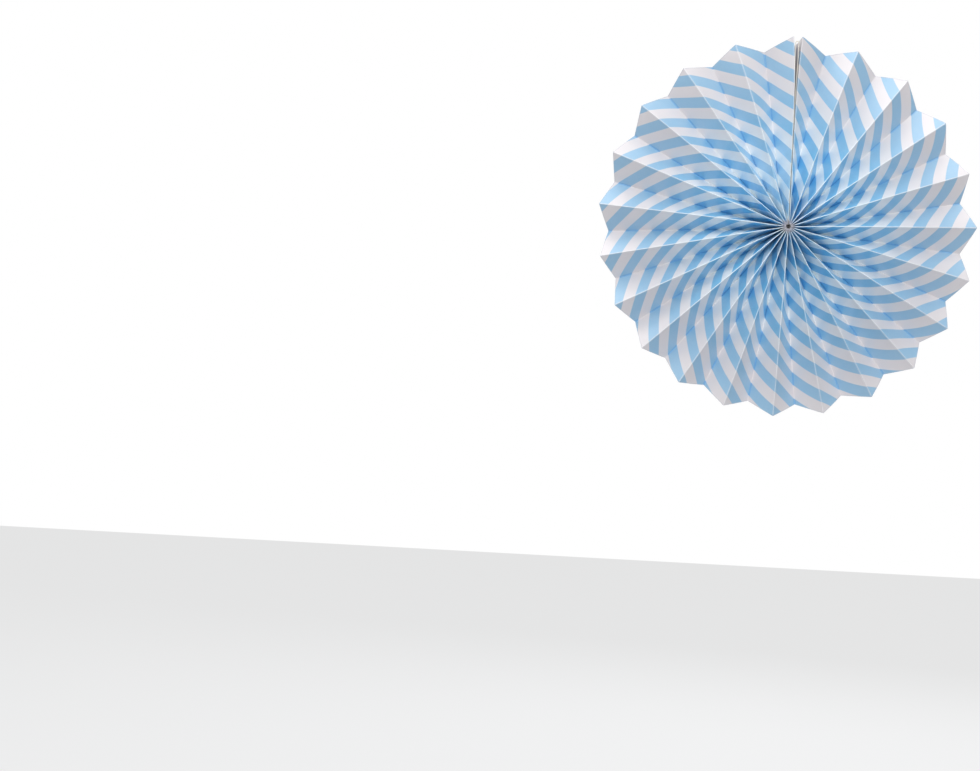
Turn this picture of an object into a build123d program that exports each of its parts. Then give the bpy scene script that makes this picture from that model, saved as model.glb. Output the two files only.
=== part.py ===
from build123d import *
import os
from math import asin, cos, degrees, pi, radians, sin, sqrt, tan

# A paper fan rosette: one long strip of stiff paper, accordion folded, opened into
# a full ring and closed at a seam at the top. A thread through one hole in each
# panel gathers its inner edge, and a doubled cord runs up the seam to a loop at the rim.
# The rosette's axis is Y, its front faces -Y and +Z is up. Azimuths run clockwise
# from the top, seen from the front. All sizes are in millimetres and degrees.

# The strip
tip_radius = 150.0  # from the axis to the points of the front folds
notch_depth = 9.3  # how much nearer to the axis the notches of the back folds are
hub_radius = 2.0  # the hole that the inner edge is drawn up to
paper_thickness = 0.2
front_folds = 23
panel_share = 1.22  # a panel's width, as a share of its stretch of the rim's circle
bends_along = 8  # a panel twists as it opens, as this many pairs of flat facets

# How the folds share the ring: they stand wider apart beside the seam
fold_swing = 0.071
fold_lag = 0.17
fold_flare = 0.013

# The seam: its two folds stand apart at the rim and close in towards the middle
seam_rim_gap = 7.2  # between the two seam folds, at their points
seam_closed_radius = 60.0  # inside this the seam is only as wide as the cord needs
seam_curve = 2.6
pocket_depth = 7.7  # how deep behind the seam folds the end panels leave room for the cord
pocket_opening_share = 0.47  # how much of the seam's opening is left at that depth
pocket_slope = 4.0  # the further depth in which the end panels come together

# The double-sided tape between the end panels
tape_thickness = 0.1
tape_width = 9.0
tape_inset = 1.5  # from the free edges of the end panels
tape_start_share = 0.1  # of the way from the hub to the rim
tape_end_share = 0.88

# The thread that gathers the inner edge
thread_diameter = 0.6
thread_clearance = 0.03  # round the thread, in the hole through each panel
thread_ring_radius = 5.0
thread_depth = 3.0  # behind the middle of the folds

# The hanging cord. Its front strand goes to the right of the loop, the other to the left.
cord_diameter = 0.9
cord_clearance = 0.03  # to each side of the cord, in the seam
strand_gap = 0.1  # between the front strand and the one behind it
strand_depth = -7.7  # between the two strands, in the closed part of the seam
parting_radius = 96.0  # where the strands begin to part
loop_drop = 2.6  # from the points of the rim down to the top of the loop
loop_radius = 1.7
loop_depth = -5.6
knot_wraps = 3
knot_clearance = 0.1  # between the knot and the paper round the hub

notch_radius = tip_radius - notch_depth
panel_width = panel_share * pi * tip_radius / front_folds  # on the flat strip
across_printed = cord_diameter / 2 + cord_clearance  # half the seam where it is closed
half_tape = tape_thickness / 2
strand_half = (cord_diameter + strand_gap) / 2
knot_half_height = knot_wraps * cord_diameter / 2
corner_reach = hub_radius - knot_clearance - cord_diameter / 2
knot_rise = sqrt(corner_reach**2 - cord_diameter**2) - (knot_half_height - cord_diameter / 2)


def around(azimuth, radius, depth, sideways=0.0):
    """A point at an azimuth and radius, moved clockwise by a small distance."""
    a = radians(azimuth)
    x = radius * sin(a) + sideways * cos(a)
    z = radius * cos(a) - sideways * sin(a)
    return Vector(x, depth, z)


def ring_shares():
    """Each front fold's place on the ring, from 0 at the seam round to 1."""
    turns = [2 * pi * (k + 0.5) / (front_folds - 1) for k in range(front_folds - 1)]
    pitches = [1 + fold_swing * cos(t - fold_lag) + fold_flare * cos(2 * t) for t in turns]
    return [sum(pitches[:k]) / sum(pitches) for k in range(front_folds)]


shares = ring_shares()


def seam_opening(radius):
    """How much further out each seam fold stands than where the seam is closed."""
    opened = max(0.0, radius - seam_closed_radius) / (tip_radius - seam_closed_radius)
    return (seam_rim_gap / 2 - across_printed - paper_thickness) * opened**seam_curve


def front_azimuth(k, radius):
    """Where a front fold lies. Folds near the seam give way as it closes or opens."""
    last = front_folds - 1
    rim_half = degrees(asin(seam_rim_gap / 2 / tip_radius))
    azimuth = rim_half + shares[k] * (360 - 2 * rim_half)
    offset = across_printed + paper_thickness + seam_opening(radius)
    give = degrees(asin(offset / radius)) - rim_half
    nearness = max(0.0, 1 - 2 * min(k, last - k) / last)
    ease = 1 if give > 0 else 6
    side = 1 if 2 * k < last else -1
    return azimuth + side * give * nearness**ease


def panel_slope(radius, half_pitch):
    """How far a panel leans away from straight back. It opens towards the rim."""
    face = panel_width - paper_thickness
    across = 2 * radius * sin(radians(half_pitch) / 2)
    crown = crown_half(asin(max(0.0, across - paper_thickness) / face))
    return asin(max(0.0, across - crown) / face)


def crown_half(slope):
    """Half the flat crown outside a fold, for paper of one thickness throughout."""
    return paper_thickness * tan(pi / 4 - slope / 2)


def fold_depth(slope):
    """How far a fold's crown lies before or behind the middle of the folds."""
    return (paper_thickness + (panel_width - paper_thickness) * cos(slope)) / 2


def fold(azimuth, radius, left_slope, right_slope, front):
    """A fold's two rungs, each a point on the printed side and one on the plain side.

    The outside of the fold has a narrow flat crown, and the inside is one sharp line.
    """
    way = -1 if front else 1
    depth = way * fold_depth((left_slope + right_slope) / 2)
    inside = around(azimuth, radius, depth - way * paper_thickness)
    crown = [
        around(azimuth, radius, depth, -crown_half(left_slope)),
        around(azimuth, radius, depth, crown_half(right_slope)),
    ]
    return [(outside, inside) if front else (inside, outside) for outside in crown]


def end_panel(side, tip, notch, fold_line):
    """An end panel's rungs, from its free edge to where the pocket for the cord begins."""
    slant = (tip - notch) / panel_width
    pocket_half = across_printed + pocket_opening_share * seam_opening(tip)
    rungs = []
    for back, x in (
        (panel_width, half_tape),
        (pocket_depth + pocket_slope, half_tape),
        (pocket_depth, pocket_half),
    ):
        printed = Vector(side * x, fold_line + back, tip - slant * back)
        rungs.append((printed, printed + Vector(side * paper_thickness, 0, 0)))
    return rungs


def section(share):
    """All the rungs round the ring, at a share of the way from the hub to the rim."""
    last = front_folds - 1
    tip = hub_radius + share * (tip_radius - hub_radius)
    notch = hub_radius + share * (notch_radius - hub_radius)
    at_tip = [front_azimuth(k, tip) for k in range(front_folds)]
    at_notch = [front_azimuth(k, notch) for k in range(front_folds)]
    slopes = [panel_slope(tip, (at_tip[k + 1] - at_tip[k]) / 2) for k in range(last)]
    seam_line = -fold_depth((slopes[0] + slopes[-1]) / 2)
    rungs = end_panel(1, tip, notch, seam_line)
    for k in range(front_folds):
        left = slopes[k - 1] if k > 0 else 0.0
        right = slopes[k] if k < last else 0.0
        rungs += fold(at_tip[k], tip, left, right, front=True)
        if k < last:
            middle = (at_notch[k] + at_notch[k + 1]) / 2
            rungs += fold(middle, notch, slopes[k], slopes[k], front=False)
    return rungs + end_panel(-1, tip, notch, seam_line)[::-1]


def facets(a0, a1, b0, b1):
    """Two flat facets between two short stretches. The crease starts at the back fold."""
    if a0.Y < b0.Y:
        return [(a0, b0, a1), (b0, b1, a1)]
    return [(a0, b0, b1), (a0, b1, a1)]


def pleated_strip():
    """The folded strip, as one closed skin of flat facets."""
    rows = [section(j / bends_along) for j in range(bends_along + 1)]
    corners = []
    for near, far in zip(rows, rows[1:]):
        for i in range(1, len(near)):
            for surface in (0, 1):
                a0, a1 = near[i - 1][surface], far[i - 1][surface]
                b0, b1 = near[i][surface], far[i][surface]
                corners += facets(a0, a1, b0, b1)
        for printed_0, plain_0, printed_1, plain_1 in (near[0] + far[0], near[-1] + far[-1]):
            corners += facets(printed_0, printed_1, plain_0, plain_1)
    for row in (rows[0], rows[-1]):
        for (printed_0, plain_0), (printed_1, plain_1) in zip(row, row[1:]):
            corners += facets(printed_0, plain_0, printed_1, plain_1)
    whole = [c for c in corners if c[0] != c[1] and c[1] != c[2] and c[2] != c[0]]
    return Solid(Shell([Face(Wire.make_polygon(c)) for c in whole]))


def seam_tape():
    """A thin strip in the middle plane, along the rear edges of the end panels."""
    front_edge = []
    rear_edge = []
    for j in range(bends_along + 1):
        share = tape_start_share + (tape_end_share - tape_start_share) * j / bends_along
        free_edge = section(share)[0][0]
        rear_edge.append((free_edge.Y - tape_inset, free_edge.Z))
        front_edge.append((free_edge.Y - tape_inset - tape_width, free_edge.Z))
    outline = make_face(Plane.YZ * Polyline(*front_edge, *rear_edge[::-1], close=True))
    return extrude(outline, amount=half_tape, both=True)


def thread_tunnel():
    """The ring, with eight flat sides, that makes the hole through every panel."""
    reach = thread_diameter / 2 + thread_clearance
    profile = Pos(thread_ring_radius, thread_depth) * RegularPolygon(reach, 8, major_radius=False)
    return revolve(profile, Axis.Y)


def binding_thread():
    ring = Torus(thread_ring_radius, thread_diameter / 2)
    return Pos(0, thread_depth, 0) * Rot(90, 0, 0) * ring


def cord_knot():
    """A stopper knot in the hub, too wide for the seam: turns of cord round the strands."""
    knot = Cylinder(strand_half + cord_diameter / 2, 2 * knot_half_height)
    for turn in range(knot_wraps):
        rise = (turn - (knot_wraps - 1) / 2) * cord_diameter
        knot += Pos(0, 0, rise) * Torus(cord_diameter, cord_diameter / 2)
    return Pos(0, strand_depth, knot_rise) * knot


def strand(side, loop_middle):
    """One strand's corners, from the knot up to where it turns over in the loop."""
    depth = -side * strand_half
    return [
        Vector(0, strand_depth + depth, knot_rise + knot_half_height),
        Vector(0, strand_depth + depth, parting_radius),
        Vector(side * loop_radius, loop_depth, loop_middle + loop_radius * tan(pi / 6)),
    ]


def hanging_cord():
    """The cord, up one strand, round a half circle in three corners and down the other."""
    loop_middle = tip_radius - loop_drop - cord_diameter / 2 - loop_radius
    crest = Vector(0, loop_depth, loop_middle + 2 * loop_radius * tan(pi / 6))
    route = strand(1, loop_middle) + [crest] + strand(-1, loop_middle)[::-1]
    radii = []
    for before, at, after in zip(route, route[1:], route[2:]):
        turn = (at - before).get_angle(after - at)
        shorter = min((at - before).length, (after - at).length)
        radii.append(0.45 * shorter / tan(radians(turn) / 2))
    path = FilletPolyline(*route, radius=radii)
    cord = sweep(Plane(path @ 0, z_dir=path % 0) * Circle(cord_diameter / 2), path=path)
    print("cord radii", [round(radius, 1) for radius in radii])
    print("cord length", round(path.length, 1))
    print("cord volume", round(cord.volume, 2), round(pi * (cord_diameter / 2) ** 2 * path.length, 2))
    return cord


os.makedirs("parts", exist_ok=True)
for name, node in (
    ("pleated_paper", pleated_strip() - thread_tunnel()),
    ("seam_tape", seam_tape()),
    ("binding_thread", binding_thread()),
    ("cord_knot", cord_knot()),
    ("hanging_cord", hanging_cord()),
):
    print(name, round(node.volume, 2), node.bounding_box().size)
    export_step(node, f"parts/{name}.step")
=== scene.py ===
# %% [markdown]
# # A paper fan rosette
#
# This lesson dresses a pleated party decoration: one long strip of stiff paper,
# printed with slanting stripes, folded like an accordion and opened into a full ring.
# A cord runs up the seam at the top and ends in a loop, by which it hangs.
#
# The plain CAD solids are loaded first. They fix every size and place, in metres, with
# the front towards -Y and +Z up. Each step below makes one piece or one finish.

# %% The plain solids
import bpy
import numpy as np
from math import asin, cos, degrees, pi, radians, sin, tan
from mathutils import Matrix, Vector


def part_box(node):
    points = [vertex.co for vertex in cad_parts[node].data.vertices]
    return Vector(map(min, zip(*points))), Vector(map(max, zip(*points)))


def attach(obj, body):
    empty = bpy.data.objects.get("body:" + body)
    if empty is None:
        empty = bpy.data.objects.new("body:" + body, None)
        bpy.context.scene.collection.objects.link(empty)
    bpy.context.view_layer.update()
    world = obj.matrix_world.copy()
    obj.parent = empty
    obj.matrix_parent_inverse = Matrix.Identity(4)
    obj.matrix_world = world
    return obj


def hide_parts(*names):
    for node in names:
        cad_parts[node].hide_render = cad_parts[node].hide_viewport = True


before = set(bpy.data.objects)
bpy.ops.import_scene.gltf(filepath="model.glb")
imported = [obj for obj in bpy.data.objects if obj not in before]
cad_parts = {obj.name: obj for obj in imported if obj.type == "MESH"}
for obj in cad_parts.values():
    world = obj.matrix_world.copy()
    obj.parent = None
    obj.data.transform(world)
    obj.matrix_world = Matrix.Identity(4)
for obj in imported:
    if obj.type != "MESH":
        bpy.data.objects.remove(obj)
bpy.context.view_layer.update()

for name in sorted(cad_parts):
    low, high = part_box(name)
    print(name, "is", [round(1000 * (b - a), 1) for a, b in zip(low, high)], "mm")

# %% [markdown]
# ## The camera
#
# The photograph looks straight at the rosette from about one and a half metres, and it
# was taken a little below and to the left of its hub, so that the rosette sits at the
# upper right of the frame. The rosette also hangs about three degrees off plumb there.
# Turning the camera by that angle keeps the object itself upright in its own frame.
# The distance matters more than the lens: it sets how much larger the front folds look
# than the back ones, so it was settled first, and the lens then gives the right size.

# %% The camera
OFF_PLUMB = radians(3.109)
LEFT_OF_HUB, BELOW_HUB, AWAY = 0.23507, 0.1254, 1.511
SENSOR_WIDTH, LENS = 36.0, 69.93


def place_camera():
    right = Vector((cos(OFF_PLUMB), 0, sin(OFF_PLUMB)))
    up = Vector((-sin(OFF_PLUMB), 0, cos(OFF_PLUMB)))
    back = Vector((0, -1, 0))
    data = bpy.data.cameras.new("camera")
    data.sensor_fit = "HORIZONTAL"
    data.sensor_width = SENSOR_WIDTH
    data.lens = LENS
    data.clip_end = 50.0
    camera = bpy.data.objects.new("camera", data)
    bpy.context.collection.objects.link(camera)
    place = -LEFT_OF_HUB * right - BELOW_HUB * up + AWAY * back
    turn = Matrix((right, up, back)).transposed()
    camera.matrix_world = Matrix.Translation(place) @ turn.to_4x4()
    bpy.context.scene.camera = camera
    return camera


camera = place_camera()
bpy.context.scene.view_settings.view_transform = "Standard"
print("camera at", [round(x, 3) for x in camera.matrix_world.translation])

# %% [markdown]
# ## The cord's route
#
# One soft cotton cord is doubled. Its two strands leave a stopper knot in the hub, lie
# one behind the other in the narrow seam, part towards the rim and meet in a small loop
# between the two points there. The cord carries the rosette's weight, so its runs are
# straight, and the loop is as round as the pin that it hangs on. The route is a few
# corner points, and a NURBS spline of order 3 turns them into one smooth line. The order
# and the end setting are given after the points, because a new spline has too few points
# to take them.

# %% The cord's route
CORD = 0.0009
CORD_DEPTH, STRAND_OFFSET = -0.0077, 0.0005
KNOT_TOP, PARTING = 0.001587, 0.096
LOOP, LOOP_DEPTH, LOOP_MIDDLE = 0.0017, -0.0056, 0.14525
LOOP_RISE = LOOP * tan(pi / 6)


def strand(side):
    depth = CORD_DEPTH - side * STRAND_OFFSET
    return [
        (0, depth, KNOT_TOP),
        (0, depth, PARTING),
        (side * LOOP, LOOP_DEPTH, LOOP_MIDDLE + LOOP_RISE),
    ]


crest = (0, LOOP_DEPTH, LOOP_MIDDLE + 2 * LOOP_RISE)
route = strand(1) + [crest] + strand(-1)[::-1]


def smooth_line(name, points):
    data = bpy.data.curves.new(name, "CURVE")
    data.dimensions = "3D"
    data.resolution_u = 24
    spline = data.splines.new("NURBS")
    spline.points.add(len(points) - 1)
    for point, place in zip(spline.points, points):
        point.co = (*place, 1)
    spline.order_u = 3
    spline.use_endpoint_u = True
    line = bpy.data.objects.new(name, data)
    bpy.context.collection.objects.link(line)
    return line


def points_along(line):
    """The points that Blender itself works out along a curve with no bevel."""
    mesh = bpy.data.meshes.new_from_object(line)
    points = [vertex.co.copy() for vertex in mesh.vertices]
    bpy.data.meshes.remove(mesh)
    return points


guide = smooth_line("cord_guide", route)
cord_points = points_along(guide)
bpy.data.objects.remove(guide)

# %% [markdown]
# ## Tubes that wind round a line
#
# Real cord is two or three plies laid round each other. A plain tube with a striped bump
# would do from afar, but its outline would stay smooth. So each ply is its own tube that
# winds round the route. A frame is carried along the line from point to point, always
# turned by the least angle, so that the twist comes only from the winding and not from
# the frame. Each of the three plies is a little over half as thick as the cord, so that
# they press into one another and leave no gap.

# %% Tubes that wind round a line
PLIES, PLY_SHARE, LAY_PITCH = 3, 0.52, 0.0032
RINGS_PER_TURN = 10


def evenly(points, step):
    """The same line with points at equal distances along it."""
    line = np.array([tuple(p) for p in points])
    along = np.concatenate([[0], np.cumsum(np.linalg.norm(np.diff(line, axis=0), axis=1))])
    places = np.linspace(0, along[-1], int(along[-1] / step) + 1)
    return np.stack([np.interp(places, along, line[:, k]) for k in range(3)], axis=1), places


def carried_frame(line):
    ahead = np.gradient(line, axis=0)
    ahead /= np.linalg.norm(ahead, axis=1, keepdims=True)
    first = np.zeros_like(line)
    side = np.cross(ahead[0], (0.0, 1.0, 0.0))
    for k, way in enumerate(ahead):
        side = side - way * np.dot(side, way)
        side /= np.linalg.norm(side)
        first[k] = side
    return first, np.cross(ahead, first)


def tube(centre, radius, sides=8):
    """Points on rings round a line, and the faces between the rings."""
    a, b = carried_frame(centre)
    turn = np.linspace(0, 2 * pi, sides, endpoint=False)
    rings = centre[:, None] + radius * (
        np.cos(turn)[None, :, None] * a[:, None] + np.sin(turn)[None, :, None] * b[:, None]
    )
    faces = []
    for k in range(len(centre) - 1):
        for j in range(sides):
            i, n = k * sides + j, k * sides + (j + 1) % sides
            faces.append((i, n, n + sides, i + sides))
    faces.append(tuple(range(sides))[::-1])
    faces.append(tuple(len(centre) * sides - sides + j for j in range(sides)))
    return rings.reshape(-1, 3), faces


def plied(points, diameter):
    """Plies of cord wound round a line, as one list of points and faces."""
    line, along = evenly(points, LAY_PITCH / RINGS_PER_TURN)
    a, b = carried_frame(line)
    ply = diameter / 2 * PLY_SHARE
    swing = diameter / 2 - ply
    all_points, all_faces = [], []
    for k in range(PLIES):
        turn = 2 * pi * (along / LAY_PITCH + k / PLIES)
        centre = line + swing * (np.cos(turn)[:, None] * a + np.sin(turn)[:, None] * b)
        ring_points, faces = tube(centre, ply)
        start = sum(len(p) for p in all_points)
        all_points.append(ring_points)
        all_faces += [tuple(i + start for i in face) for face in faces]
    return np.concatenate(all_points), all_faces


def piece(name, points, faces, smooth=True):
    mesh = bpy.data.meshes.new(name)
    mesh.from_pydata([tuple(p) for p in points], [], faces)
    mesh.validate()
    if smooth:
        mesh.shade_smooth()
    made = bpy.data.objects.new(name, mesh)
    bpy.context.collection.objects.link(made)
    return made


print("plies", PLIES, "with one turn in", round(1000 * LAY_PITCH, 1), "mm")

# %% [markdown]
# ## The twisted cord
#
# The plies follow the cord's route from the knot up to the loop and back down. The
# twisted cord takes the place of the plain one and rides on the same body.

# %% The twisted cord
twisted_cord = piece("twisted_cord", *plied(cord_points, CORD))
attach(twisted_cord, "root")
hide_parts("hanging_cord")
print("cord faces", len(twisted_cord.data.polygons))

# %% [markdown]
# ## The strip, fold by fold
#
# The paper is the piece that makes the rosette. Stiff paper bends but does not stretch,
# so the distance from one fold line to the next stays the same all the way from the
# hub to the rim. At the hub the folds are pressed together and the panels stand
# almost straight back. Towards the rim the ring gives them room, so they lean over, and
# each panel is twisted. That one rule gives the depth of every fold at every radius.
#
# The same measures as in the solid are used, in millimetres, and turned into metres at
# the end. The folds do not share the ring evenly: they stand a little wider apart
# beside the seam, as the photograph shows.

# %% The strip's measures
TIP, NOTCH, HUB = 150.0, 140.7, 2.0
PANEL, PAPER = 25.0, 0.2
FRONT_FOLDS = 23
SEAM_RIM_GAP, SEAM_CLOSED, SEAM_CURVE = 7.2, 60.0, 2.6
SEAM_HALF = 0.48
POCKET, POCKET_SPREAD, POCKET_SLOPE = 7.7, 0.47, 4.0
TAPE_HALF = 0.05
WIDER_AT_SEAM, WIDER_TURN, WIDER_TWICE = 0.071, 0.17, 0.013
ALL_GIVE, NEAREST_GIVE = 1, 6
last = FRONT_FOLDS - 1

turns = 2 * pi * (np.arange(last) + 0.5) / last
pitches = 1 + WIDER_AT_SEAM * np.cos(turns - WIDER_TURN) + WIDER_TWICE * np.cos(2 * turns)
shares = np.concatenate([[0], np.cumsum(pitches)]) / pitches.sum()
print("fold pitches from", round(360 * min(pitches) / sum(pitches), 2), end=" ")
print("to", round(360 * max(pitches) / sum(pitches), 2), "degrees")


def seam_opening(radius):
    """How far each side of the seam has opened at a radius. It is closed near the hub."""
    opened = max(0.0, radius - SEAM_CLOSED) / (TIP - SEAM_CLOSED)
    return (SEAM_RIM_GAP / 2 - SEAM_HALF - PAPER) * opened**SEAM_CURVE


def front_azimuths(radius):
    """Where the front folds lie, in degrees clockwise from the top.

    Near the hub the seam takes a larger share of the ring, and all folds give way.
    Further out only those beside the seam do.
    """
    rim_half = degrees(asin(SEAM_RIM_GAP / 2 / TIP))
    give = degrees(asin((SEAM_HALF + PAPER + seam_opening(radius)) / radius)) - rim_half
    k = np.arange(FRONT_FOLDS)
    nearness = np.maximum(0.0, 1 - 2 * np.minimum(k, last - k) / last)
    side = np.where(2 * k < last, 1, -1)
    azimuths = rim_half + shares * (360 - 2 * rim_half)
    return azimuths + side * give * nearness ** (ALL_GIVE if give > 0 else NEAREST_GIVE)


# %% [markdown]
# ## One slice through the ring
#
# A slice at one radius is a zigzag line through the middle of the paper. It starts at
# the free edge of the right end panel behind the seam, comes forward to the first
# front fold, runs once round the ring and goes back along the left end panel.
# Each fold is two points, one for each panel, as far apart as the paper's thickness
# makes them. Slopes are measured from straight back.

# %% One slice through the ring
def panel_slopes(radius, half_pitches):
    """How far each panel leans over at a radius, in radians."""
    face = PANEL - PAPER
    across = 2 * radius * np.sin(np.radians(half_pitches) / 2)
    first = np.arcsin(np.maximum(0.0, across - PAPER) / face)
    crown = PAPER * np.tan(pi / 4 - first / 2)
    return np.arcsin(np.maximum(0.0, across - crown) / face)


def around(azimuth, radius, depth, sideways):
    """A point on the ring, moved sideways to the right of its ray."""
    a = radians(azimuth)
    x = radius * sin(a) + sideways * cos(a)
    z = radius * cos(a) - sideways * sin(a)
    return (x, depth, z)


def end_panel(side, tip, notch, fold_line):
    """An end panel from its free edge forward, with the pocket that the cord lies in."""
    slant = (tip - notch) / PANEL
    pocket_half = SEAM_HALF + POCKET_SPREAD * seam_opening(tip)
    stops = [(PANEL, TAPE_HALF), (POCKET + POCKET_SLOPE, TAPE_HALF), (POCKET, pocket_half)]
    return [(side * (x + PAPER / 2), fold_line + back, tip - slant * back) for back, x in stops]


def slice_points(share):
    """The zigzag at a share of the way from the hub to the rim."""
    tip = HUB + share * (TIP - HUB)
    notch = HUB + share * (NOTCH - HUB)
    at_tip, at_notch = front_azimuths(tip), front_azimuths(notch)
    slopes = panel_slopes(tip, np.diff(at_tip) / 2)
    crowns = PAPER * np.tan(pi / 4 - slopes / 2) / 2
    left = np.concatenate([[0.0], slopes])
    right = np.concatenate([slopes, [0.0]])
    left_crown = np.concatenate([[PAPER / 2], crowns])
    right_crown = np.concatenate([crowns, [PAPER / 2]])
    face = PANEL - PAPER
    front_depth = -face * np.cos((left + right) / 2) / 2
    seam_line = -(PAPER + face * np.cos((slopes[0] + slopes[-1]) / 2)) / 2
    points = end_panel(1, tip, notch, seam_line)
    for k in range(FRONT_FOLDS):
        points.append(around(at_tip[k], tip, front_depth[k], -left_crown[k]))
        points.append(around(at_tip[k], tip, front_depth[k], right_crown[k]))
        if k < last:
            valley = (at_notch[k] + at_notch[k + 1]) / 2
            depth = face * np.cos(slopes[k]) / 2
            points.append(around(valley, notch, depth, -crowns[k]))
            points.append(around(valley, notch, depth, crowns[k]))
    return np.array(points + end_panel(-1, tip, notch, seam_line)[::-1])


print("corners of the slice at the rim", len(slice_points(1.0)))

# %% [markdown]
# ## Panels that bow and folds that are round
#
# A pressed fold is not a knife edge: it has a radius of a few tenths of a millimetre,
# and that is what catches the light as a thin bright line. So the line turns each fold
# with a short Bezier curve, which is tighter near the hub. Between the folds a panel
# gets a few points across, and bows in or out by a fraction of a millimetre, each one by
# its own amount, because hand folded paper is never quite flat. That bow grows from
# nothing at the hub and fades towards the rim. There all panels swell to their printed
# side, by up to half a millimetre. So a panel turns a little to the front beside its
# front fold, and catches more light there. The bow is nothing at the folds, so no size
# changes.
#
# Every point also keeps its place on the flat, unfolded strip: how far along the strip
# it is, and how far from the hub. The stripes were printed on the flat strip, so
# they are drawn from that place later, and run true across every fold.

# %% Panels that bow and folds that are round
ACROSS, ROUND = 6, 5
ROUND_REACH, HUB_SHARE, SHARE_GROWS = 0.45, 0.25, 40.0
QUARTERS = np.array([0.25, 0.5, 0.75])
BOW_SPREAD, BOW_GROWS, BOW_FADES = 0.28, 3, 0.9
RIM_SWELL, SWELL_POWER = 0.5, 3
POCKET_PLACE, SLOPE_PLACE = POCKET / PANEL, (POCKET + POCKET_SLOPE) / PANEL
rng = np.random.default_rng(23)
bows = rng.normal(0, BOW_SPREAD, 2 * last + 2)


def bezier(a, b, c, d, t):
    t = t[:, None]
    return (1 - t) ** 3 * a + 3 * (1 - t) ** 2 * t * b + 3 * (1 - t) * t**2 * c + t**3 * d


def towards(start, end):
    return (end - start) / np.linalg.norm(end - start)


def bowed_panel(start, end, amount, share):
    """Points across a panel, which bows by the amount and swells towards the rim."""
    steps = np.linspace(0, 1, ACROSS + 1)[1:-1]
    face = np.cross(end - start, (end[0], 0, end[2]))
    face /= np.linalg.norm(face)
    bow = amount * np.sin(pi * share * BOW_FADES) * min(1, share * BOW_GROWS)
    bow = (bow + RIM_SWELL * share**SWELL_POWER) * np.sin(pi * steps)
    return start + steps[:, None] * (end - start) + bow[:, None] * face, steps


def fine_slice(share):
    """Points of a slice, and each one's place along the flat strip, in panels."""
    corners = slice_points(share)
    line, along = list(corners[:3]), [-1.0, -SLOPE_PLACE, -POCKET_PLACE]
    start = corners[2]
    radius = HUB + share * (TIP - HUB)
    reach = ROUND_REACH * min(1.0, HUB_SHARE + radius / SHARE_GROWS)
    spread = reach / PANEL
    for k in range(3, len(corners) - 3, 2):
        fold = (k - 3) // 2
        a, b, following = corners[k], corners[k + 1], corners[k + 2]
        enter = a + reach * towards(a, start)
        leave = b + reach * towards(b, following)
        if fold:
            panel, steps = bowed_panel(start, enter, bows[fold], share)
            along += list(fold - 1 + steps)
        else:
            panel = start + QUARTERS[:, None] * (enter - start)
            along += list(-POCKET_PLACE * (1 - QUARTERS))
        line += list(panel)
        line += list(bezier(enter, a, b, leave, np.linspace(0, 1, ROUND + 1)))
        along += list(fold + np.linspace(-spread, spread, ROUND + 1))
        start = leave
    line += list(start + QUARTERS[:, None] * (corners[-3] - start))
    along += list(2 * last + POCKET_PLACE * QUARTERS)
    line += list(corners[-3:])
    along += [2 * last + POCKET_PLACE, 2 * last + SLOPE_PLACE, 2 * last + 1.0]
    return np.array(line), np.array(along)


ROWS = 60
slices = [fine_slice(share) for share in np.linspace(0, 1, ROWS + 1)]
middle = np.array([points for points, places in slices])
strip_places = slices[0][1]
print("paper grid", middle.shape[0], "by", middle.shape[1])

# %% [markdown]
# ## Both sides of the paper
#
# The grid is the middle of the paper. Moving it half the paper's thickness each way
# gives the printed side and the plain side, and narrow strips of faces along the
# borders close the cut edges. A Solidify modifier could do this too, but it would not
# keep its thickness where a fold turns back on itself.

# %% Both sides of the paper
onward = np.gradient(middle, axis=1)
outward = np.gradient(middle, axis=0)
normal = np.cross(onward, outward)
normal /= np.linalg.norm(normal, axis=2, keepdims=True)
printed = (middle + normal * PAPER / 2) / 1000
plain = (middle - normal * PAPER / 2) / 1000
count, columns = middle.shape[:2]
facing = normal[ROWS // 2].mean(axis=0)
print("the printed side faces", [round(float(x), 2) for x in facing])


def skin_faces(start, flip):
    faces = []
    for i in range(count - 1):
        for j in range(columns - 1):
            a = start + i * columns + j
            face = (a, a + 1, a + 1 + columns, a + columns)
            faces.append(face[::-1] if flip else face)
    return faces


def border():
    """The grid's border, once round, as row and column numbers."""
    there = [(0, j) for j in range(columns)] + [(i, columns - 1) for i in range(1, count)]
    back = [(count - 1, j) for j in range(columns - 2, -1, -1)]
    return there + back + [(i, 0) for i in range(count - 2, 0, -1)]


def fold_the_paper():
    points = [printed.reshape(-1, 3), plain.reshape(-1, 3)]
    faces = skin_faces(0, False)
    finishes = [0] * len(faces)
    faces += skin_faces(count * columns, True)
    start = 2 * count * columns
    for skin in (printed, plain):
        points.append(np.array([skin[i, j] for i, j in edge]))
    for k in range(len(edge)):
        n = (k + 1) % len(edge)
        faces.append((start + n, start + k, start + len(edge) + k, start + len(edge) + n))
    finishes += [1] * (len(faces) - len(finishes))
    paper = piece("folded_paper", np.concatenate(points), faces)
    paper.data.polygons.foreach_set("material_index", finishes)
    return paper


edge = border()
folded_paper = fold_the_paper()
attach(folded_paper, "root")
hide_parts("pleated_paper")
print("paper faces", len(folded_paper.data.polygons))

# %% [markdown]
# ## The place on the flat strip
#
# A mesh keeps such places in a layer of flat coordinates, which every face corner can
# read. Here they are real measures in metres: the first is the place along the strip,
# and the second is the distance from the hub. That distance changes from the point of
# a front fold to the notch of a back fold, because the strip's end is cut on a slant.

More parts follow.
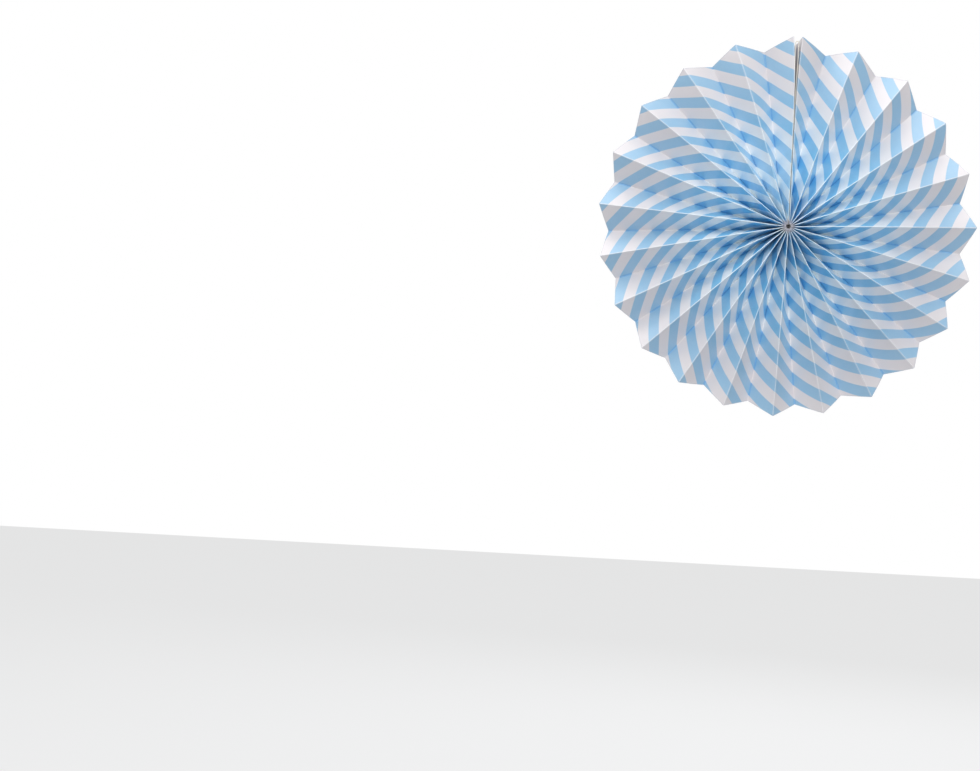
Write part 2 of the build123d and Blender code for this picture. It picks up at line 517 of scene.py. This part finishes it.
# %% The place on the flat strip
def flat_places():
    """Along the strip and out from the hub, in metres, for each point of the grid."""
    tips = HUB + np.linspace(0, 1, count) * (TIP - HUB)
    notches = HUB + np.linspace(0, 1, count) * (NOTCH - HUB)
    away = np.abs(strip_places % 2 - 1)
    radius = tips[:, None] * away + notches[:, None] * (1 - away)
    onto_strip = np.broadcast_to(strip_places * PANEL, radius.shape)
    return np.stack([onto_strip, radius], axis=2).reshape(-1, 2) / 1000


def lay_flat(paper):
    flat = flat_places()
    edge_flat = np.array([flat[i * columns + j] for i, j in edge])
    flat = np.concatenate([flat, flat, edge_flat, edge_flat])
    layer = paper.data.uv_layers.new(name="flat_strip")
    corners = np.zeros(len(paper.data.loops), dtype=np.int64)
    paper.data.loops.foreach_get("vertex_index", corners)
    layer.data.foreach_set("uv", flat[corners].ravel())
    return flat


flat = lay_flat(folded_paper)
print("flat strip", [round(1000 * float(x)) for x in np.ptp(flat, axis=0)], "mm")

# %% [markdown]
# ## Sums on sockets
#
# The stripes, the crease marks and the grain of the paper are all sums on numbers that
# change over the surface. In the node editor each sum is a Math node. Here one small
# class wraps a socket, so that an expression such as 1 - mask adds its nodes by itself.
# The class asks its finish for every new node, and that is the next step.

# %% Sums on sockets
class Socket:
    """An output socket that adds Math nodes when it is used in an expression."""

    def __init__(self, finish, socket):
        self.finish, self.socket = finish, socket

    def math(self, operation, *values):
        numbered = dict(enumerate(values))
        return self.finish.add("ShaderNodeMath", {"operation": operation}, numbered)

    def __add__(self, other):
        return self.math("ADD", self, other)

    def __sub__(self, other):
        return self.math("SUBTRACT", self, other)

    def __rsub__(self, other):
        return self.math("SUBTRACT", other, self)

    def __mul__(self, other):
        return self.math("MULTIPLY", self, other)

    def __truediv__(self, other):
        return self.math("DIVIDE", self, other)

    __radd__, __rmul__ = __add__, __mul__

    def sine(self):
        return self.math("SINE", self)

    def larger(self, other):
        return self.math("MAXIMUM", self, other)

    def distance_to_whole(self):
        """How far a number is from the nearest whole one, from 0 to 0.5."""
        return self.math("PINGPONG", self, 0.5)

    def rise(self, start, end):
        """A smooth step from 0 at start to 1 at end. It falls if end is the smaller."""
        low, high = (start, end) if start < end else (end, start)
        settings = {"interpolation_type": "SMOOTHSTEP"}
        bounds = {"Value": self, "From Min": low, "From Max": high}
        step = self.finish.add("ShaderNodeMapRange", settings, bounds)
        return step if start < end else 1 - step


print("besides sums, a socket has", [name for name in vars(Socket) if name[0] != "_"])

# %% [markdown]
# ## A finish in the making
#
# A material is a tree of nodes. All of them come from one add method, which takes the
# node's type, its settings, and then the values or links of its sockets. The nodes that
# most finishes need have a short method of their own. The world has a tree of the same
# kind, so the class takes either as its owner.

# %% A finish in the making
MIX_SOCKETS, MIX_OUTPUT = (0, 6, 7), 2


class Finish:
    """The nodes of a material, or of the world."""

    def __init__(self, owner):
        self.owner = owner
        self.owner.use_nodes = True
        self.tree = self.owner.node_tree
        self.tree.nodes.clear()

    def add(self, kind, settings={}, sockets={}, output=0):
        node = self.tree.nodes.new(kind)
        for name, value in settings.items():
            setattr(node, name, value)
        for name, value in sockets.items():
            if isinstance(value, Socket):
                self.tree.links.new(value.socket, node.inputs[name])
            else:
                node.inputs[name].default_value = value
        return Socket(self, node.outputs[output]) if node.outputs else None

    def mix(self, mask, first, second):
        """The first colour where the mask is 0, and the second where it is 1.

        A Mix node also has sockets for numbers and vectors, hence the numbers of these.
        """
        sockets = dict(zip(MIX_SOCKETS, (mask, first, second)))
        return self.add("ShaderNodeMix", {"data_type": "RGBA"}, sockets, MIX_OUTPUT)

    def object_place(self):
        return self.add("ShaderNodeTexCoord", output="Object")

    def strip_place(self):
        return self.add("ShaderNodeUVMap", {"uv_map": "flat_strip"})

    def noise(self, place, scale, detail=2.0):
        sockets = {"Vector": place, "Scale": scale, "Detail": detail}
        return self.add("ShaderNodeTexNoise", {}, sockets)

    def bump(self, height, strength, distance):
        sockets = {"Strength": strength, "Distance": distance, "Height": height}
        return self.add("ShaderNodeBump", {}, sockets)

    def surface(self, **sockets):
        named = {name.replace("_", " "): value for name, value in sockets.items()}
        shader = self.add("ShaderNodeBsdfPrincipled", {}, named)
        self.add("ShaderNodeOutputMaterial", {}, {"Surface": shader})
        return self.owner


def new_finish(name):
    return Finish(bpy.data.materials.new(name))


# %% [markdown]
# ## Printed stripes
#
# The stripes slant on the flat strip: from one fold to the next they drop 15.7 mm
# towards the hub, and along a fold they repeat every 21.1 mm. A place in the pattern
# is therefore one sum of the two coordinates of the flat strip, and the distance of
# that sum from a whole number says whether a point lies in a blue stripe. The folds of
# the real strip don't all fall at the same place in the print, so the pattern drifts
# to and fro by up to 0.8 mm round the ring. Towards the rim the panels aren't quite
# straight, and there the stripes bend a little between two folds. A picture of the
# print would do the same job, but a sum stays sharp however near the camera comes.

# %% Printed stripes
STRIPE_DROP, STRIPE_REPEAT, STRIPE_START = 15.70, 21.13, 6.3
STRIPE_EDGE = 0.252, 0.238
DRIFT_ONCE, DRIFT_TWICE = 0.45, 0.5
BEND, BEND_ROUND = 0.6, 0.45
BEND_RADII = 50.0, 110.0


def panels_and_radius(finish, place):
    """The place along the strip in panels, and out from the hub in millimetres."""
    along = finish.add("ShaderNodeSeparateXYZ", {}, {"Vector": place}, output="X")
    radius = finish.add("ShaderNodeSeparateXYZ", {}, {"Vector": place}, output="Y")
    return along * (1000 / PANEL), radius * 1000


def stripes(panels, radius):
    """1 in a blue stripe and 0 in a white one."""
    round_once = panels * (pi / last)
    drift = DRIFT_ONCE * round_once.sine() + DRIFT_TWICE * (2 * round_once).sine()
    bend = (panels * pi).sine() * (BEND + BEND_ROUND * round_once.sine())
    bend = bend * radius.rise(*BEND_RADII)
    repeats = radius + panels * STRIPE_DROP - (drift + STRIPE_START) - bend
    return (repeats / STRIPE_REPEAT).distance_to_whole().rise(*STRIPE_EDGE)


slant = float(np.degrees(np.arctan2(STRIPE_DROP, PANEL)))
print("stripes slant by", round(slant, 1), "degrees on the flat strip")

# %% [markdown]
# ## Creases, wear, painted light and shade, and the cut rim
#
# The print is lighter along each front fold, where the crease has broken the ink and
# the white core shows, and a painted highlight lies on that line as well, stronger on
# the folds at the sides of the ring than near its top and bottom. Along the back folds
# the blue is painted deeper, as painted shade in the crease. Near the hub the white is
# painted a light blue and the blue more saturated, as painted bounce light between the
# close folds, and deep in the folds there the white is painted blue, as painted shade.
# The last few millimetres at the hub are painted grey, as painted shade. A thin grey
# line runs along the cut rim, which also sets it off from a white wall. The two end
# panels in the seam are painted almost without ink, as painted light in the seam's
# pocket, and left of the seam, towards the hub, the print is painted paler and its fold
# lines fainter, as painted light.
#
# Each of these is a mask between 0 and 1. It rises between two distances from a fold,
# the hub or the rim, in millimetres, or between two places on the strip, in panels. The
# masks are then laid over the print one after another, each with its own colour.

# %% Creases, wear, painted light and shade, and the cut rim
# Painted light and shade among these colours: the inner white and blue are painted bounce light
# near the hub, the deeper blue is painted shade along the back folds, the grey is painted shade
# at the hub, and the inner line colour is partly a painted highlight.
HUB_BOUNCE_WHITE, OUTER_WHITE = (0.86, 0.95, 1.0, 1), (0.68, 0.645, 0.665, 1)
HUB_BOUNCE_BLUE, OUTER_BLUE = (0.135, 0.51, 0.83, 1), (0.245, 0.455, 0.65, 1)
INNER_CORE_AND_HIGHLIGHT, OUTER_CORE_AND_HIGHLIGHT = (0.86, 0.95, 1.0, 1), (0.82, 0.82, 0.85, 1)
VALLEY_SHADE_BLUE, HUB_SHADE_GREY = (0.10, 0.33, 0.62, 1), (0.48, 0.47, 0.55, 1)
CUT_GREY = (0.40, 0.43, 0.50, 1)
HUB_BOUNCE_RADII, LIGHT_PATCH_RADII = (20.0, 130.0), (85.0, 45.0)
DEEP_FOLD_SHADE_RADII, HUB_SHADE_RADII = (34.0, 12.0), (7.0, 3.0)
FROM_WORN_AND_HIGHLIGHT, FROM_VALLEY_SHADE, FROM_RIM_LINE = (0.42, 0.12), (1.2, 0.2), (0.9, 0.3)
IN_THE_FOLDS, LIGHT_PATCH_PANELS = (1.5, 9.0), (38.5, 40.5)
FIRST_END, LAST_END = (-0.05, -0.15), (2 * last + 0.05, 2 * last + 0.15)
HIGHLIGHT_ROUND, HIGHLIGHT_TURN = 0.2, 2.15
END_PAINTED_LIGHT, LIGHT_PATCH_PALER, LIGHT_PATCH_HIDES_LINES = 0.9, 0.3, 0.9
DEEP_FOLD_SHADE, HUB_SHADE, RIM_LINE = 0.6, 0.9, 0.4


def print_colour(finish, panels, radius, uneven):
    """The colour of the printed side, with all that lies over the stripes."""
    # From the hub's painted bounce light out to the colours at the rim.
    outer = radius.rise(*HUB_BOUNCE_RADII)
    from_fold = (panels * 0.5).distance_to_whole() * (2 * PANEL)
    from_rim = TIP - from_fold * ((TIP - NOTCH) / PANEL) - radius
    # Painted light: the end panels in the seam's pocket are painted almost without ink.
    end_panels = panels.rise(*FIRST_END) + panels.rise(*LAST_END)
    # Painted light: left of the seam, towards the hub, the print is painted paler and the fold
    # lines fainter.
    light_patch = panels.rise(*LIGHT_PATCH_PANELS) * radius.rise(*LIGHT_PATCH_RADII)
    ink = stripes(panels, radius) * (0.93 + uneven * 0.14)
    ink = ink * (1 - end_panels * END_PAINTED_LIGHT) * (1 - light_patch * LIGHT_PATCH_PALER)
    white = finish.mix(outer, HUB_BOUNCE_WHITE, OUTER_WHITE)
    blue = finish.mix(outer, HUB_BOUNCE_BLUE, OUTER_BLUE)
    core_and_highlight = finish.mix(outer, INNER_CORE_AND_HIGHLIGHT, OUTER_CORE_AND_HIGHLIGHT)
    # Painted shade: the blue is deeper along each back fold.
    valley_shade = (PANEL - from_fold).rise(*FROM_VALLEY_SHADE) * ink * (0.45 + uneven * 0.5)
    # Painted shade: deep in the folds near the hub the white is painted blue.
    blue_fold_shade = from_fold.rise(*IN_THE_FOLDS) * radius.rise(*DEEP_FOLD_SHADE_RADII) * (1 - light_patch)
    # The lighter line along each front fold is worn ink with a painted highlight on top,
    # stronger on the folds at the sides of the ring than near its top and bottom.
    side_highlight = 0.85 - HIGHLIGHT_ROUND * (panels * (2 * pi / last) + HIGHLIGHT_TURN).sine()
    worn_and_highlight = from_fold.rise(*FROM_WORN_AND_HIGHLIGHT) * (0.75 + uneven * 0.5 - outer * 0.55)
    layers = [
        (valley_shade, VALLEY_SHADE_BLUE),
        (blue_fold_shade * DEEP_FOLD_SHADE, HUB_BOUNCE_BLUE),
        (worn_and_highlight * side_highlight * (1 - light_patch * LIGHT_PATCH_HIDES_LINES), core_and_highlight),
        # Painted shade: the last few millimetres at the hub are painted grey.
        (radius.rise(*HUB_SHADE_RADII) * HUB_SHADE, HUB_SHADE_GREY),
        # A thin grey line along the cut rim.
        (from_rim.rise(*FROM_RIM_LINE) * RIM_LINE, CUT_GREY),
    ]
    colour = finish.mix(ink, white, blue)
    for mask, over in layers:
        colour = finish.mix(mask, colour, over)
    return colour


# The front folds also carry a painted highlight, and the back folds painted shade.
print("front folds with worn ink", FRONT_FOLDS, "and back folds with pressed ink", last)

# %% [markdown]
# ## Paper on both sides
#
# The sheet has a satin varnish over paper that shines a little by itself. The photograph
# shows it: a panel that faces the light loses contrast, as a haze of white lies over
# both stripes. So the shader gets a coat of its own, with a wide, soft highlight. The
# paper's fibres give a fine bump and slightly uneven ink. The back has no varnish.

# %% Paper on both sides
CLOUDS, BACK_CLOUDS, FIBRES = 260.0, 90.0, 2600.0


def striped_paper():
    finish = new_finish("striped_paper")
    place = finish.strip_place()
    panels, radius = panels_and_radius(finish, place)
    uneven = finish.noise(place, CLOUDS, 3.0)
    return finish.surface(
        Base_Color=print_colour(finish, panels, radius, uneven),
        Roughness=0.4 + uneven * 0.1,
        IOR=1.6,
        Specular_IOR_Level=0.9,
        Coat_Weight=0.8,
        Coat_Roughness=0.4,
        Normal=finish.bump(finish.noise(place, FIBRES), 0.25, 0.00008),
    )


def plain_paper():
    finish = new_finish("plain_paper")
    place = finish.strip_place()
    cloud = finish.noise(place, BACK_CLOUDS, 4.0)
    return finish.surface(
        Base_Color=finish.mix(cloud, (0.80, 0.79, 0.78, 1), (0.86, 0.855, 0.85, 1)),
        Roughness=0.8 + cloud * 0.1,
        Specular_IOR_Level=0.3,
        Normal=finish.bump(finish.noise(place, FIBRES), 0.3, 0.0001),
    )


folded_paper.data.materials.append(striped_paper())
folded_paper.data.materials.append(plain_paper())
print("paper finishes", [m.name for m in folded_paper.data.materials])

# %% [markdown]
# ## Cotton and tape
#
# The cord is undyed cotton: a warm cream, fully rough, with fine fibres. Its knot sits
# deep in the hub and is painted dark, as painted shade in the hole there. The thread
# round the hub is thinner and whiter. The tape between the two end panels is a thin
# clear film, which only shows as a narrow edge.

# %% Cotton and tape
def cotton(name, light, dark):
    finish = new_finish(name)
    fibre = finish.noise(finish.object_place(), 4200.0, 3.0)
    tone = finish.noise(finish.object_place(), 160.0)
    return finish.surface(
        Base_Color=finish.mix(fibre * 0.6 + tone * 0.4, dark, light),
        Roughness=0.88 + fibre * 0.1,
        Specular_IOR_Level=0.2,
        Normal=finish.bump(fibre, 0.6, 0.00006),
    )


def tape_film():
    finish = new_finish("tape_film")
    cloud = finish.noise(finish.object_place(), 300.0)
    colour = finish.mix(cloud, (0.72, 0.74, 0.75, 1), (0.82, 0.83, 0.83, 1))
    return finish.surface(Base_Color=colour, Roughness=0.25 + cloud * 0.15)


def dress(thing, material):
    thing.data.materials.clear()
    thing.data.materials.append(material)
    print(thing.name, "wears", material.name)


cream = cotton("cream_cotton", (0.88, 0.84, 0.76, 1), (0.66, 0.62, 0.54, 1))
# The knot is painted dark, as painted shade in the hole at the hub.
knot_shade = cotton("knot_shade_cotton", (0.15, 0.145, 0.15, 1), (0.05, 0.05, 0.055, 1))
white = cotton("white_cotton", (0.82, 0.81, 0.78, 1), (0.62, 0.61, 0.58, 1))
dress(twisted_cord, cream)
dress(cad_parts["cord_knot"], knot_shade)
dress(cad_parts["binding_thread"], white)
dress(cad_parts["seam_tape"], tape_film())

# %% [markdown]
# ## Soft lamps
#
# The photograph was lit softly from above and a little from the left: the panels that
# face up are bright, those that face down are only a little darker, and no shadow has a
# hard edge. A wide lamp high in front gives the direction and the shine, one at the
# camera's side reaches down between the folds, and one behind lights the plain back.

# %% Soft lamps
def softbox(name, place, size, power):
    """A lamp of a given width and height in metres, turned towards the hub."""
    data = bpy.data.lights.new(name, "AREA")
    data.shape = "RECTANGLE"
    data.size, data.size_y = size
    data.energy = power
    light = bpy.data.objects.new(name, data)
    bpy.context.collection.objects.link(light)
    light.location = place
    light.rotation_euler = Vector(place).to_track_quat("Z", "Y").to_euler()
    return light


lamps = [
    softbox("high_box", (-0.28, -0.62, 1.08), (2.2, 1.4), 17.5),
    softbox("front_box", (0.0, -1.6, 0.3), (0.8, 0.8), 12.5),
    softbox("back_box", (0.4, 1.5, 0.7), (0.9, 0.9), 24.0),
]
print("lamps", [lamp.name for lamp in lamps])

# %% [markdown]
# ## A white background
#
# The background is pure white. That is done in the nodes of the world, for what the
# camera sees directly, and not with more light. A ray that sees it in a mirror or
# through glass counts as well, so that such things would show the same white. All other
# rays find a faint sky, which fills the shadows.

# %% A white background
SKY_COLOUR, SKY_STRENGTH = (0.90, 0.96, 1.0, 1), 0.15


def seen(finish):
    """1 for a ray from the camera, in a mirror or through glass, and 0 for any other."""
    camera_ray = finish.add("ShaderNodeLightPath", output="Is Camera Ray")
    mirror_ray = finish.add("ShaderNodeLightPath", output="Is Glossy Ray")
    glass_ray = finish.add("ShaderNodeLightPath", output="Is Transmission Ray")
    return camera_ray.larger(mirror_ray.larger(glass_ray))


def studio_world():
    world = bpy.data.worlds.new("studio")
    bpy.context.scene.world = world
    finish = Finish(world)
    sky = {"Color": SKY_COLOUR, "Strength": SKY_STRENGTH}
    sky = finish.add("ShaderNodeBackground", {}, sky)
    white = {"Color": (1, 1, 1, 1), "Strength": 1.0}
    white = finish.add("ShaderNodeBackground", {}, white)
    both = finish.add("ShaderNodeMixShader", {}, {0: seen(finish), 1: sky, 2: white})
    finish.add("ShaderNodeOutputWorld", {}, {"Surface": both})
    return world


print("world", studio_world().name, "with a sky of strength", SKY_STRENGTH)

# %% [markdown]
# ## A pale floor
#
# The floor shows the same white by four fifths, and keeps the rest for the shadow. Its
# own colour is a light grey, because a white floor would throw so much light back that
# every panel that faces down would be too bright.

# %% A pale floor
FLOOR_SIZE, FLOOR_HEIGHT, FLOOR_SHARE = 4.0, -0.62, 0.8


def pale_floor():
    size, height = FLOOR_SIZE, FLOOR_HEIGHT
    corners = [(-size, -size), (size, -size), (size, size), (-size, size)]
    floor = piece("floor", [(*c, height) for c in corners], [(0, 1, 2, 3)], smooth=False)
    finish = new_finish("pale_floor")
    cloud = finish.noise(finish.object_place(), 3.0)
    colour = finish.mix(cloud, (0.55, 0.56, 0.58, 1), (0.58, 0.59, 0.61, 1))
    lit = finish.add("ShaderNodeBsdfDiffuse", {}, {"Color": colour})
    pale = finish.add("ShaderNodeEmission", {}, {"Color": (0.95, 0.95, 0.95, 1)})
    choice = {0: seen(finish) * FLOOR_SHARE, 1: lit, 2: pale}
    both = finish.add("ShaderNodeMixShader", {}, choice)
    finish.add("ShaderNodeOutputMaterial", {}, {"Surface": both})
    floor.data.materials.append(finish.owner)
    return floor


print("floor", [round(size, 1) for size in pale_floor().dimensions], "m")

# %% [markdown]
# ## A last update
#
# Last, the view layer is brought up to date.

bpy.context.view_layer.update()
